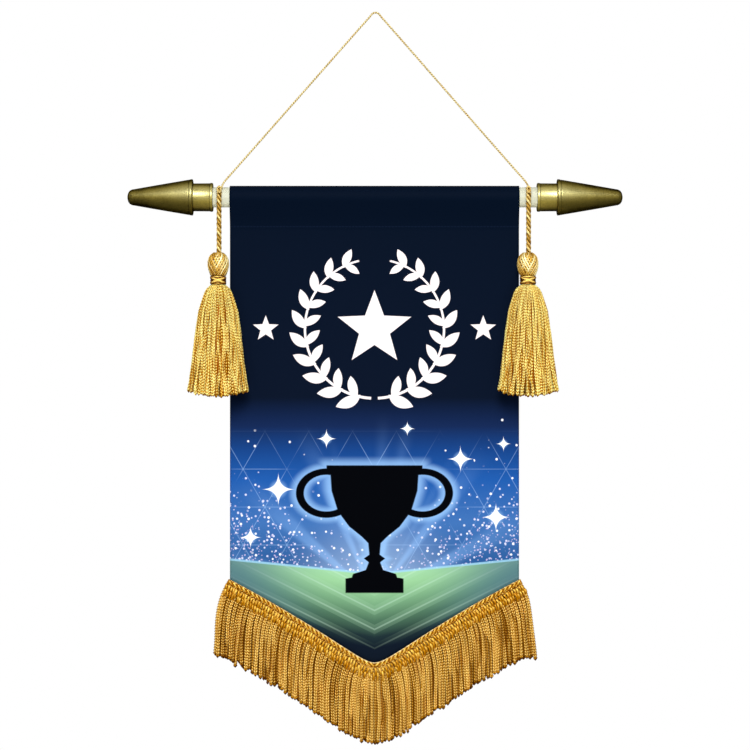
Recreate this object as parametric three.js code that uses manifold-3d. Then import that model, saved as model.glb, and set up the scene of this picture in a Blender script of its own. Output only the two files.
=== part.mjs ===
// A small pointed banner that hangs in front of a podium: cloth on a rod, capped rod ends,
// a gold hanging cord, two tassels and a gold fringe along the pointed foot.
// Millimetres, +Z up, the face that people see towards -Y.
// The origin is the underside of the hanging cord's top bend, where it lies on its hook.

import * as THREE from "three";
import { mergeVertices } from "three/addons/utils/BufferGeometryUtils.js";
import Module from "manifold-3d";

const wasm = await Module();
wasm.setup();

// Driving dimensions
const clothWidth = 228.6;
const clothDrop = 381;
const shoulderDrop = 316.8;
const clothThickness = 1;
const rodDiameter = 15.9;
const rodLength = 304.8;
const rodBelowHook = 145.1;
const capMouth = 127.7;
const tasselReach = 122.4;
const cordDiameter = 4.4;
const plyDiameter = 2;
const fringeSpread = 127.6;
const fringeLength = 65.5;
const fringeStrands = 87;
const gap = 0.3;

// Colours
const gold = new THREE.MeshStandardMaterial({ color: 0xc8963a, roughness: 0.45, metalness: 0.1 });
const darkGold = new THREE.MeshStandardMaterial({ color: 0xa87327, roughness: 0.4, metalness: 0.1 });
const brass = new THREE.MeshStandardMaterial({ color: 0x968e4d, roughness: 0.35, metalness: 0.9 });
const ivory = new THREE.MeshStandardMaterial({ color: 0xe4e4c8, roughness: 0.5, metalness: 0 });
const printedCloth = new THREE.MeshStandardMaterial({ color: 0x0d1c3a, roughness: 0.75, metalness: 0 });

// What follows from them
const rodRadius = rodDiameter / 2;
const sleeveInside = rodRadius + gap;
const sleeveOutside = sleeveInside + clothThickness;
const rodHeight = -rodBelowHook;
const clothTop = rodHeight + sleeveOutside;
const clothTip = clothTop - clothDrop;
const clothCorner = clothTop - shoulderDrop;
const clothFront = -clothThickness / 2;
const cordDepth = -(rodRadius + gap + cordDiameter / 2);

// Solids: a closed geometry to a solid that can be joined or cut, and back
function solid(geometry) {
  const bare = geometry.clone();
  bare.deleteAttribute("normal");
  bare.deleteAttribute("uv");
  const merged = mergeVertices(bare, 1e-4);
  const vertProperties = new Float32Array(merged.attributes.position.array);
  const triVerts = new Uint32Array(merged.index.array);
  return new wasm.Manifold(new wasm.Mesh({ numProp: 3, vertProperties, triVerts }));
}

function geometryOf(body) {
  const { vertProperties, triVerts } = body.getMesh();
  const geometry = new THREE.BufferGeometry();
  geometry.setAttribute("position", new THREE.BufferAttribute(vertProperties, 3));
  geometry.setIndex(new THREE.BufferAttribute(triVerts, 1));
  return geometry;
}

function piece(name, geometry, material) {
  const mesh = new THREE.Mesh(geometry, material);
  mesh.name = name;
  return mesh;
}

// A route through given points, with one ring of the swept section at each of them
class Route extends THREE.Curve {
  constructor(points) {
    super();
    this.points = points;
  }
  getPoint(share) {
    const along = share * (this.points.length - 1);
    const from = Math.min(Math.floor(along), this.points.length - 2);
    return this.points[from].clone().lerp(this.points[from + 1], along - from);
  }
  getPointAt(share) {
    return this.getPoint(share);
  }
  getTangentAt(share, target) {
    return this.getTangent(share, target);
  }
}

function roundSection(radius, sides, lobes = 0, depth = 0) {
  const corners = [];
  for (let i = 0; i < sides; i += 1) {
    const angle = (2 * Math.PI * i) / sides;
    const reach = radius + depth * (Math.cos(lobes * angle) - 1);
    corners.push(new THREE.Vector2(reach * Math.cos(angle), reach * Math.sin(angle)));
  }
  return new THREE.Shape(corners);
}

// Sweeps a section along a route, then turns and narrows each ring about the route
function sweep(section, route, turn = () => 0, narrow = () => 1) {
  const steps = route.points.length - 1;
  const geometry = new THREE.ExtrudeGeometry(section, { steps, extrudePath: route, bevelEnabled: false });
  const position = geometry.attributes.position;
  const point = new THREE.Vector3();
  for (let i = 0; i < position.count; i += 1) {
    point.fromBufferAttribute(position, i);
    const distances = route.points.map((p) => p.distanceToSquared(point));
    const ring = distances.indexOf(Math.min(...distances));
    const axis = route.getTangentAt(ring / steps, new THREE.Vector3());
    point.sub(route.points[ring]);
    point.applyAxisAngle(axis, turn(ring)).multiplyScalar(narrow(ring));
    point.add(route.points[ring]);
    position.setXYZ(i, point.x, point.y, point.z);
  }
  return geometry;
}

function smoothStep(from, to, value) {
  const share = THREE.MathUtils.clamp((value - from) / (to - from), 0, 1);
  return share * share * (3 - 2 * share);
}

// Yarn is never quite even: two waves that fall out of step stand in for chance
function unevenness(index, amount) {
  return amount * Math.sin(index * 2.4) * Math.cos(index * 0.73);
}

// Rod: a plain ivory tube blank, here solid, that the cloth's sleeve slides over
const rodSegments = 32;

function rod() {
  const geometry = new THREE.CylinderGeometry(rodRadius, rodRadius, rodLength, rodSegments);
  geometry.rotateZ(Math.PI / 2);
  geometry.translate(0, 0, rodHeight);
  return geometry;
}

// Rod cap: a moulded brass-coloured finial, a collar with a rim and a long blunt cone, pushed on the rod
const capOutline = [
  { along: 0, radius: 11 },
  { along: 0.6, radius: 11.5 },
  { along: 2, radius: 11.5 },
  { along: 2.6, radius: 11.2 },
  { along: 15, radius: 11.2 },
  { along: 15.8, radius: 11.8 },
  { along: 15.8, radius: 13.9 },
  { along: 16.4, radius: 14.4 },
  { along: 18.4, radius: 14.4 },
  { along: 19, radius: 14 },
  { along: 64, radius: 6.2 },
  { along: 65.8, radius: 5.2 },
  { along: 67, radius: 3.4 },
  { along: 67.6, radius: 1.6 },
];

const capSegments = 20;

function cap(side) {
  const socketDepth = rodLength / 2 - capMouth + gap;
  const socket = [
    new THREE.Vector2(0, socketDepth),
    new THREE.Vector2(sleeveInside, socketDepth),
    new THREE.Vector2(sleeveInside, 0),
  ];
  const outside = capOutline.map((row) => new THREE.Vector2(row.radius, row.along));
  const tip = new THREE.Vector2(0, capOutline.at(-1).along);
  const geometry = new THREE.LatheGeometry([...socket, ...outside, tip], capSegments);
  geometry.rotateZ(-Math.PI / 2);
  geometry.translate(capMouth, 0, 0);
  if (side < 0) {
    geometry.rotateZ(Math.PI);
  }
  geometry.translate(0, 0, rodHeight);
  return geometry;
}

// Cloth: one printed sheet, folded back over the rod and sewn to itself to make the rod sleeve
const seamBelowRod = 22.7;
const flapBelowSeam = 7;
const sleeveSteps = 20;
const cutMargin = 1;

// Where a line from a point below touches a circle about the rod, on the side given
function touchAngle(radius, foot, side) {
  const toFoot = Math.atan2(foot.y, foot.x);
  return toFoot + side * Math.acos(radius / foot.length());
}

function cloth() {
  const frontFoot = new THREE.Vector2(clothFront, -seamBelowRod);
  const middleFoot = new THREE.Vector2(-clothFront, -seamBelowRod);
  const backFoot = new THREE.Vector2(clothThickness - clothFront, -seamBelowRod);
  const bottom = clothTip - rodHeight - cutMargin;

  const section = new THREE.Shape();
  section.moveTo(-clothFront, bottom);
  section.lineTo(clothFront, bottom);
  section.lineTo(frontFoot.x, frontFoot.y);
  const outFront = touchAngle(sleeveOutside, frontFoot, -1) + 2 * Math.PI;
  const outBack = touchAngle(sleeveOutside, backFoot, 1);
  section.absarc(0, 0, sleeveOutside, outFront, outBack, true);
  section.lineTo(backFoot.x, backFoot.y);
  section.lineTo(backFoot.x, backFoot.y - flapBelowSeam);
  section.lineTo(-clothFront, backFoot.y - flapBelowSeam);

  const pocket = new THREE.Path();
  const inFront = touchAngle(sleeveInside, middleFoot, -1) + 2 * Math.PI;
  const inBack = touchAngle(sleeveInside, middleFoot, 1);
  pocket.absarc(0, 0, sleeveInside, inBack, inFront, false);
  pocket.lineTo(middleFoot.x, middleFoot.y);
  section.holes.push(pocket);

  const length = new THREE.ExtrudeGeometry(section, {
    depth: clothWidth + 2 * cutMargin,
    curveSegments: sleeveSteps,
    bevelEnabled: false,
  });
  const depthAxis = new THREE.Vector3(0, 1, 0);
  const upAxis = new THREE.Vector3(0, 0, 1);
  const widthAxis = new THREE.Vector3(1, 0, 0);
  length.applyMatrix4(new THREE.Matrix4().makeBasis(depthAxis, upAxis, widthAxis));
  length.translate(-clothWidth / 2 - cutMargin, 0, rodHeight);

  const half = clothWidth / 2;
  const cut = new THREE.Shape([
    new THREE.Vector2(-half, clothTop + cutMargin),
    new THREE.Vector2(-half, clothCorner),
    new THREE.Vector2(0, clothTip),
    new THREE.Vector2(half, clothCorner),
    new THREE.Vector2(half, clothTop + cutMargin),
  ]);
  const outline = new THREE.ExtrudeGeometry(cut, { depth: 4 * rodDiameter, bevelEnabled: false });
  outline.rotateX(Math.PI / 2);
  outline.translate(0, 2 * rodDiameter, 0);
  return geometryOf(solid(length).intersect(solid(outline)));
}

// Fringe: a braided heading sewn along the pointed foot, with two layers of chain-knitted strands
const headingRise = { steep: 0.71, ease: 0.00099, tipRound: 8 };
const headingTop = -512.4;
const headingHeight = 8;
const headingThickness = 2.4;
const braidHeight = 3.6;
const braidProud = 0.8;
const headingEnd = 115;
const headingSteps = 22;
const tipCrowding = 1.35;
const rootInHeading = 6.9;
const strandReach = 1.1;
const rootNarrowing = 0.3;
const settlingDrop = 11;
const splay = { all: 4.2, within: 16, ends: 8.4, endsFrom: 0.7, endsPower: 1.3 };
const shorterPerMm = 0.045;
const unevenFoot = 1.1;
const unevenHang = 0.25;
const strandLayers = [
  { sides: 4, bends: [0, 8, 22], depth: -3.1, rootDepth: -2.45, shift: 0.25, shorten: 0 },
  { sides: 3, bends: [0, 14], depth: -0.9, rootDepth: -1.55, shift: -0.25, shorten: 1.2 },
];

// The heading's upper edge, from its lowest point at the tip to its ends
function headingEdge(x) {
  const out = Math.hypot(x, headingRise.tipRound) - headingRise.tipRound;
  return headingTop + headingRise.steep * out - headingRise.ease * out * out;
}

function heading() {
  const points = [];
  for (let i = 0; i <= headingSteps; i += 1) {
    const share = (2 * i) / headingSteps - 1;
    const x = headingEnd * Math.sign(share) * Math.abs(share) ** tipCrowding;
    points.push(new THREE.Vector3(x, clothFront - gap, headingEdge(x)));
  }
  const section = new THREE.Shape([
    new THREE.Vector2(0, 0),
    new THREE.Vector2(headingThickness, 0),
    new THREE.Vector2(headingThickness + braidProud, braidHeight * 0.3),
    new THREE.Vector2(headingThickness + braidProud, braidHeight * 0.8),
    new THREE.Vector2(headingThickness, braidHeight),
    new THREE.Vector2(headingThickness, headingHeight),
    new THREE.Vector2(0, headingHeight),
  ]);
  return sweep(section, new Route(points));
}

// A strand leaves the heading square to its edge and soon hangs plumb; the end strands fan out
function fringeStrand(layer, index) {
  const place = (2 * (index + 0.5 + layer.shift)) / fringeStrands - 1;
  const hang = fringeSpread * place;
  const out = Math.abs(hang);
  const endLean = splay.ends * smoothStep(splay.endsFrom, 1, Math.abs(place)) ** splay.endsPower;
  const root = hang - Math.sign(hang) * (splay.all * smoothStep(0, splay.within, out) + endLean);
  const rootHeight = headingEdge(root) - rootInHeading;
  const length = fringeLength - shorterPerMm * out - layer.shorten + unevenness(index, unevenFoot);
  const foot = headingEdge(root) - length;
  const sway = unevenness(index + 5, unevenHang);
  const points = [...layer.bends, rootHeight - foot].map((drop) => {
    const settled = 1 - Math.exp(-drop / settlingDrop);
    const x = root + (hang - root + sway) * settled;
    const y = layer.rootDepth + (layer.depth - layer.rootDepth) * settled;
    return new THREE.Vector3(x, y, rootHeight - drop);
  });
  const narrow = (ring) => (ring === 0 ? rootNarrowing : 1);
  return sweep(roundSection(strandReach, layer.sides), new Route(points), () => 0, narrow);
}

function fringe() {
  const solids = [solid(heading())];
  for (const layer of strandLayers) {
    for (let i = 0; i < fringeStrands; i += 1) {
      solids.push(solid(fringeStrand(layer, i)));
    }
  }
  return geometryOf(wasm.Manifold.union(solids));
}

// Hanging cord: one thin twisted gold cord, taut from the left tassel cord over the hook to the right one
const hangerHalf = [
  [-121.3, -6.3, -138.3],
  [-121.2, -5.2, -137.3],
  [-120.9, -4.3, -136.1],
  [-120.4, -3.6, -134.9],
  [-119.7, -3.1, -133.6],
  [-118.8, -2.9, -132.4],
  [-117.8, -2.8, -131.2],
  [-106, -2.6, -117.8],
  [-88, -2.1, -97.3],
  [-70, -1.7, -76.8],
  [-52, -1.2, -56.3],
  [-34, -0.8, -35.8],
  [-16, -0.4, -15.3],
  [-6.3, -0.1, -4.3],
  [-4.5, 0, -2.3],
  [-3.2, 0, -0.6],
  [-1.7, 0, 0.6],
];
const hangerSides = 8;
const hangerStep = 6.4;

function hanger() {
  const left = hangerHalf.map(([x, y, z]) => new THREE.Vector3(x, y, z));
  const middle = new THREE.Vector3(0, 0, plyDiameter / 2);
  const right = left.map((p) => new THREE.Vector3(-p.x, p.y, p.z)).reverse();
  const guide = [...left, middle, ...right];
  const smooth = new THREE.CatmullRomCurve3(guide, false, "centripetal");
  const points = [];
  for (let i = 0; i < guide.length - 1; i += 1) {
    const steps = Math.ceil(guide[i].distanceTo(guide[i + 1]) / hangerStep);
    for (let j = 0; j < steps; j += 1) {
      points.push(smooth.getPoint((i + j / steps) / (guide.length - 1)));
    }
  }
  points.push(guide.at(-1));
  return sweep(roundSection(plyDiameter / 2, hangerSides), new Route(points));
}

// Tassel cord: three plies twisted together, from the front of the rod's top down to the tassel
const tasselCordRoute = [
  [-7.4, -137.7],
  [-8.1, -138.5],
  [-8.8, -139.5],
  [-9.4, -140.6],
  [-9.9, -141.8],
  [-10.3, -143.3],
  [-10.45, -145.1],
  [-10.45, -149],
  [-10.45, -154],
  [-10.45, -160],
  [-10.45, -166],
  [-10.45, -172],
  [-10.45, -178],
  [-10.45, -184],
  [-10.45, -188],
];
const cordSteps = 32;
const cordSides = 9;
const cordPlies = 3;
const cordLay = 12.4;
const plyRelief = 0.28;

function tasselCord(side) {
  const guide = tasselCordRoute.map(([y, z]) => new THREE.Vector3(side * tasselReach, y, z));
  const smooth = new THREE.CatmullRomCurve3(guide, false, "centripetal");
  const route = new Route(smooth.getSpacedPoints(cordSteps));
  const turnEach = ((2 * Math.PI) / cordLay) * (smooth.getLength() / cordSteps);
  const section = roundSection(cordDiameter / 2, cordSides, cordPlies, plyRelief);
  return sweep(section, route, (ring) => -ring * turnEach);
}

// Rod loop: one ply that goes on over the rod's top, down its back and up under it to the tassel cord
const loopStart = 43;
const loopSweep = 271;
const loopSteps = 18;
const loopSides = 8;
const loopOutward = 1.2;

function rodLoop(side) {
  const reach = rodRadius + gap + plyDiameter / 2;
  const points = [];
  for (let i = 0; i <= loopSteps; i += 1) {
    const angle = THREE.MathUtils.degToRad(loopStart - (loopSweep * i) / loopSteps);
    const y = -reach * Math.sin(angle);
    const z = rodHeight + reach * Math.cos(angle);
    points.push(new THREE.Vector3(side * (tasselReach + loopOutward), y, z));
  }
  return sweep(roundSection(plyDiameter / 2, loopSides), new Route(points));
}

// Tassel: a wound ball head and neck, a shoulder, and chain-knitted strands that hang as a skirt
const headTop = -188.3;
const headOutline = [
  { drop: 0, radius: 2.4 },
  { drop: 0.8, radius: 4.6 },
  { drop: 2, radius: 6.4 },
  { drop: 4, radius: 7.8 },
  { drop: 7, radius: 8.6 },
  { drop: 10.5, radius: 8.6 },
  { drop: 14, radius: 7.9 },
  { drop: 16.8, radius: 6.8 },
  { drop: 18.2, radius: 6 },
];
const neckRadius = 5.4;
const skirtOutline = [
  { drop: 25.9, spread: 6.6 },
  { drop: 29, spread: 9.9 },
  { drop: 32, spread: 11.6 },
  { drop: 36, spread: 12.9 },
  { drop: 46, spread: 16.1 },
  { drop: 62, spread: 18.3 },
  { drop: 86, spread: 21 },
  { drop: 102, spread: 23.3 },
  { drop: 107, spread: 24.4 },
  { drop: 118, spread: 24.9 },
];
const shoulderRows = 4;
const headSegments = 20;
const skirtLean = 6.5;
const skirtFlatness = 0.42;
const skirtFoot = 114.6;
const sidesRise = 5.2;
const unevenSkirt = 0.8;
const skirtRootNarrowing = 0.6;
const skirtRings = [
  { strands: 34, sides: 4, bends: [33, 50, 84], inset: 1.3, shift: 0, share: 1 },
  { strands: 24, sides: 3, bends: [33, 62], inset: 1.3, shift: 0.5, share: 0.66 },
];

function skirtSpread(drop) {
  const next = Math.max(1, skirtOutline.findIndex((row) => row.drop >= drop));
  const [above, below] = [skirtOutline[next - 1], skirtOutline[next]];
  const share = (drop - above.drop) / (below.drop - above.drop);
  return above.spread + share * (below.spread - above.spread);
}

// Seen from above the skirt is an oval, flatter where the cloth is behind it, and leans forward
function skirtPoint(side, angle, drop, spread) {
  const neck = skirtOutline[0];
  const depth = spread < neck.spread ? spread : neck.spread + skirtFlatness * (spread - neck.spread);
  const lean = skirtLean * Math.max(0, (drop - neck.drop) / (skirtFoot - neck.drop));
  return new THREE.Vector3(
    side * tasselReach + spread * Math.cos(angle),
    cordDepth - lean + depth * Math.sin(angle),
    headTop - drop,
  );
}

function tasselHead(side) {
  const shoulder = skirtOutline.slice(0, shoulderRows);
  const outline = [
    new THREE.Vector2(0, 0),
    ...headOutline.map((row) => new THREE.Vector2(row.radius, -row.drop)),
    new THREE.Vector2(neckRadius, -headOutline.at(-1).drop - 0.1),
    new THREE.Vector2(neckRadius, -shoulder[0].drop),
    ...shoulder.map((row) => new THREE.Vector2(row.spread, -row.drop)),
    new THREE.Vector2(0, -shoulder.at(-1).drop),
  ];
  const geometry = new THREE.LatheGeometry(outline.reverse(), headSegments);
  const position = geometry.attributes.position;
  for (let i = 0; i < position.count; i += 1) {
    const [across, drop, back] = [position.getX(i), -position.getY(i), -position.getZ(i)];
    const spread = Math.hypot(across, back);
    const bent = skirtPoint(side, Math.atan2(back, across), drop, spread);
    position.setXYZ(i, bent.x, bent.y, bent.z);
  }
  return geometry;
}

function skirtStrand(side, ring, index) {
  const angle = (2 * Math.PI * (index + ring.shift)) / ring.strands;
  const rise = sidesRise * ring.share * Math.cos(angle) ** 2;
  const foot = skirtFoot - rise + unevenness(index, unevenSkirt);
  const points = [...ring.bends, foot].map((drop) => {
    const spread = (skirtSpread(drop) - ring.inset) * ring.share;
    return skirtPoint(side, angle, drop, spread);
  });
  const narrow = (step) => (step === 0 ? skirtRootNarrowing : 1);
  return sweep(roundSection(strandReach, ring.sides), new Route(points), () => -angle, narrow);
}

function tassel(side) {
  const solids = [solid(tasselHead(side))];
  for (const ring of skirtRings) {
    for (let i = 0; i < ring.strands; i += 1) {
      solids.push(solid(skirtStrand(side, ring, i)));
    }
  }
  return geometryOf(wasm.Manifold.union(solids));
}

// Neck binding: yarn wound round the tassel's neck, drawn as one ring with low ridges
const bindingTop = 18.7;
const bindingTurns = 4;
const bindingPitch = 1.7;
const bindingRadius = 6.7;
const bindingGroove = 0.5;
const bindingSegments = 16;

function neckBinding(side) {
  const inside = neckRadius + gap;
  const outline = [new THREE.Vector2(inside, -bindingTop - bindingTurns * bindingPitch)];
  for (let i = bindingTurns; i > 0; i -= 1) {
    const low = -bindingTop - i * bindingPitch;
    outline.push(new THREE.Vector2(bindingRadius - bindingGroove, low + 0.1));
    outline.push(new THREE.Vector2(bindingRadius, low + bindingPitch / 2));
  }
  outline.push(new THREE.Vector2(bindingRadius - bindingGroove, -bindingTop - 0.1));
  outline.push(new THREE.Vector2(inside, -bindingTop));
  outline.push(outline[0].clone());
  const geometry = new THREE.LatheGeometry(outline, bindingSegments);
  geometry.rotateX(Math.PI / 2);
  geometry.translate(side * tasselReach, cordDepth, headTop);
  return geometry;
}

const banner = new THREE.Group();
banner.add(piece("rod", rod(), ivory));
banner.add(piece("banner_cloth", cloth(), printedCloth));
banner.add(piece("fringe", fringe(), gold));
banner.add(piece("hanging_cord", hanger(), gold));
for (const [name, side] of [["left", -1], ["right", 1]]) {
  banner.add(piece(`cap_${name}`, cap(side), brass));
  banner.add(piece(`tassel_cord_${name}`, tasselCord(side), gold));
  banner.add(piece(`rod_loop_${name}`, rodLoop(side), gold));
  banner.add(piece(`tassel_${name}`, tassel(side), gold));
  banner.add(piece(`neck_binding_${name}`, neckBinding(side), darkGold));
}

export default banner;
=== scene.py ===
import math

import bpy
import numpy as np
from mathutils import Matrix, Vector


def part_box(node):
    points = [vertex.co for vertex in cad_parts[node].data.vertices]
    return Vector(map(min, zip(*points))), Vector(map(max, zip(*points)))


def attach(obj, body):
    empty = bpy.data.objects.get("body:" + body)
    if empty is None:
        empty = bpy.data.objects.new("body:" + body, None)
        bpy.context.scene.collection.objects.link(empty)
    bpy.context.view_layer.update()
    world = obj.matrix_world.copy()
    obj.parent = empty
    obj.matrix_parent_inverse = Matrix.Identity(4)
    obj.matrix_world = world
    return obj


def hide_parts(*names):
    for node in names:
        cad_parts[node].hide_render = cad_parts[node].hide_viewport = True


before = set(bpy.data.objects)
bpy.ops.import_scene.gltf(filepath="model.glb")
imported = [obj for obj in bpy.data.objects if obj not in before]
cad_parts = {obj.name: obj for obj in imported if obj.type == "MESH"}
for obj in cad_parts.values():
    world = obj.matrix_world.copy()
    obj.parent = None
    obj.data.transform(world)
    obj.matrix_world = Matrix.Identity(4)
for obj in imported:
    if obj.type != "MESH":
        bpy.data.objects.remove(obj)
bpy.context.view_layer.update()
mm = 0.001


# Rod
# A length of pale 5/8 in dowel that carries everything, sanded smooth and eased at its ends.
# The cloth's sleeve slides over it, and a cap is pushed over each end.


class Signal:
    """One output of a material's nodes. Arithmetic on it adds Math nodes."""

    def __init__(self, socket):
        self.socket = socket

    def add(self, kind, settings=None, inputs=None, output=0):
        """Adds a node: its settings first, then the values or links of its sockets."""
        tree = self.socket.id_data
        node = tree.nodes.new(kind)
        for name, value in (settings or {}).items():
            if name == "stops":
                elements = node.color_ramp.elements
                elements.remove(elements[-1])
                elements[0].position, elements[0].color = value[0]
                for place, tint in value[1:]:
                    elements.new(place).color = tint
            else:
                setattr(node, name, value)
        for key, value in (inputs or {}).items():
            if isinstance(value, Signal):
                tree.links.new(value.socket, node.inputs[key])
            else:
                node.inputs[key].default_value = value
        return Signal(node.outputs[output])

    def math(self, operation, *others):
        return self.add("ShaderNodeMath", {"operation": operation}, dict(enumerate((self, *others))))

    def __add__(self, other):
        return self.math("ADD", other)

    def __mul__(self, other):
        return self.math("MULTIPLY", other)

    __radd__ = __add__
    __rmul__ = __mul__

    def __sub__(self, other):
        return self.math("SUBTRACT", other)

    def __rsub__(self, other):
        return self.math("MULTIPLY_ADD", -1.0, other)

    def __truediv__(self, other):
        return self.math("DIVIDE", other)

    def __pow__(self, other):
        return self.math("POWER", other)

    def __abs__(self):
        return self.math("ABSOLUTE")

    def rise(self, low, high):
        """Goes smoothly from 0 at low to 1 at high, or the other way round where low is the greater."""
        ends = {"Value": self, "From Min": low, "From Max": high}
        return self.add("ShaderNodeMapRange", {"interpolation_type": "SMOOTHSTEP"}, ends)

    def mix(self, first, second, how="MIX"):
        """The colour first where this is 0 and second where it is 1."""
        settings = {"data_type": "RGBA", "blend_type": how}
        return self.add("ShaderNodeMix", settings, {0: self, 6: light(first), 7: light(second)}, output=2)

    def ramp(self, stops):
        stops = [(place, light(tint)) for place, tint in stops]
        return self.add("ShaderNodeValToRGB", {"stops": stops}, {"Fac": self})

    def axis(self, name):
        return self.add("ShaderNodeSeparateXYZ", None, {0: self}, output="XYZ".index(name))

    def stretch(self, x, y, z):
        return self.add("ShaderNodeVectorMath", {"operation": "MULTIPLY"}, {0: self, 1: (x, y, z)})

    def noise(self, scale, detail):
        inputs = {"Vector": self, "Scale": scale, "Detail": detail, "Roughness": 0.55}
        return self.add("ShaderNodeTexNoise", None, inputs)

    def bump(self, distance, strength=1.0):
        inputs = {"Height": self, "Distance": distance, "Strength": strength}
        return self.add("ShaderNodeBump", None, inputs)

    def attribute(self, name):
        return self.add("ShaderNodeAttribute", {"attribute_name": name}, output=2)


def light(tint):
    """A colour as it is seen, three numbers up to 255, turned into light. Any other stays as it is."""
    if isinstance(tint, Signal) or len(tint) == 4:
        return tint
    return (*(((c / 255 + 0.055) / 1.055) ** 2.4 if c > 10 else c / 3295 for c in tint), 1.0)


def finish(name, constants):
    """A material with its constants set: the material, its shader, and the place on the object."""
    made = bpy.data.materials.new(name)
    made.use_nodes = True
    shader = made.node_tree.nodes["Principled BSDF"]
    for socket, value in constants.items():
        shader.inputs[socket].default_value = value
    place = made.node_tree.nodes.new("ShaderNodeTexCoord").outputs["Object"]
    return made, shader, Signal(place)


def feed(shader, **signals):
    for name, signal in signals.items():
        shader.id_data.links.new(signal.socket, shader.inputs[name.replace("_", " ")])


def piece(name, points, faces, material, slot, nodes, **values):
    """One visible piece. Values are numbers that its material reads at each point."""
    mesh = bpy.data.meshes.new(name)
    mesh.from_pydata(points, [], faces)
    for key, numbers in values.items():
        mesh.attributes.new(key, "FLOAT", "POINT").data.foreach_set("value", numbers)
    mesh.polygons.foreach_set("use_smooth", np.ones(len(mesh.polygons), bool))
    mesh.materials.append(material)
    made = bpy.data.objects.new(name, mesh)
    bpy.context.scene.collection.objects.link(made)
    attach(made, "root")
    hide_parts(*nodes)
    return made


def soften(corners, cut, steps=4):
    """Rounds the corners of an open outline by a cut's length, or less where a side is short."""
    corners = np.asarray(corners, float)
    outline = [corners[0]]
    for before, corner, after in zip(corners, corners[1:], corners[2:]):
        lead, tail = before - corner, after - corner
        start = corner + lead * min(0.45, cut / np.linalg.norm(lead))
        end = corner + tail * min(0.45, cut / np.linalg.norm(tail))
        for t in np.linspace(0, 1, steps):
            outline.append((1 - t) ** 2 * start + 2 * t * (1 - t) * corner + t**2 * end)
    outline.append(corners[-1])
    return np.array(outline)


def turned(outline, segments, side=1):
    """A shape turned about the rod's axis from an outline of (along, radius) that starts and ends on it."""
    along, radius = outline[1:-1].T
    angles = np.linspace(0, 2 * np.pi, segments, endpoint=False)
    y, z = radius[:, None] * np.cos(angles), rod_height + radius[:, None] * np.sin(angles)
    rings = np.stack([np.broadcast_to(side * along[:, None], y.shape), y, z], axis=-1)
    ids = np.arange(len(along) * segments).reshape(-1, segments)
    ahead = np.roll(ids, -1, axis=1)
    quads = np.stack([ids[:-1], ahead[:-1], ahead[1:], ids[1:]], axis=-1).reshape(-1, 4)
    start, end = ids.size, ids.size + 1
    faces = quads.tolist()
    faces += [[start, b, a] for a, b in zip(ids[0], ahead[0])]
    faces += [[end, a, b] for a, b in zip(ids[-1], ahead[-1])]
    poles = [[side * outline[i][0], 0, rod_height] for i in (0, -1)]
    if side < 0:
        faces = [face[::-1] for face in faces]
    return np.concatenate([rings.reshape(-1, 3), poles]), faces


rod_low, rod_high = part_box("rod")
rod_height = (rod_low.z + rod_high.z) / 2
rod_radius = (rod_high.z - rod_low.z) / 2
rod_end = rod_high.x
rod_ease = 0.8 * mm
rod_segments = 72

rod_finish, rod_shader, place = finish("pale dowel", {"Roughness": 0.6, "Specular IOR Level": 0.25})
grain = place.stretch(14, 900, 900).noise(1.0, 4.0)
fleck = place.stretch(60, 2600, 2600).noise(1.0, 2.0)
warmth = grain.rise(0.35, 0.7)
dowel_and_painted_light = warmth.mix((205, 207, 188), (201, 202, 178))
# Painted light: the rod's lower side is painted paler, standing in for light from below
painted_underside_light = place.axis("Z").rise(rod_height - 0.25 * rod_radius, rod_height - rod_radius)
dowel_and_painted_light = painted_underside_light.mix(dowel_and_painted_light, (238, 238, 208))
feed(
    rod_shader,
    Base_Color=(fleck.rise(0.55, 0.75) * 0.5).mix(dowel_and_painted_light, (190, 188, 158)),
    Normal=(grain * 0.6 + fleck * 0.4).bump(0.05 * mm),
)
rod_corners = [(-rod_end, 0), (-rod_end, rod_radius), (0, rod_radius), (rod_end, rod_radius), (rod_end, 0)]
points, faces = turned(soften(rod_corners, rod_ease), rod_segments)
piece("rod_dowel", points, faces, rod_finish, "rod", ["rod"])


# Rod caps
# Two moulded finials plated in antique brass: a collar with a small lip, a rim, and a long blunt cone.
# Each is a push fit over one end of the rod. The plating has random tarnish, and painted shade in the
# grooves, along the top and bottom edges, underneath and at the blunt end. It is darker more and more
# towards the tip, and a paler band a little above the middle is a painted highlight.

cap_mouth = {"left": 127.7 * mm, "right": 128.5 * mm}
cap_clearance = 0.3 * mm
cap_ease = 0.25 * mm
cap_segments = 88
# The outside from mouth to tip: (along, radius) in mm
cap_corners = [
    (0, 11.0), (0.5, 11.4), (1.9, 11.4), (2.4, 11.1), (15.0, 11.0), (15.8, 11.2), (15.9, 13.9),
    (16.2, 14.4), (18.2, 14.15), (18.6, 13.85), (19.0, 13.95), (42, 10.04), (64, 6.2), (65.9, 5.2),
    (67.1, 3.4), (67.6, 1.4), (67.6, 0),
]
groove_places = (2.2 * mm, 15.4 * mm, 18.6 * mm)
groove_width = 0.4 * mm
collar_end, collar_fade = 15.6 * mm, 1.6 * mm
cone_start, cone_length = 17 * mm, 50 * mm
blunt_start, blunt_length = 65.6 * mm, 1.4 * mm

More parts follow.
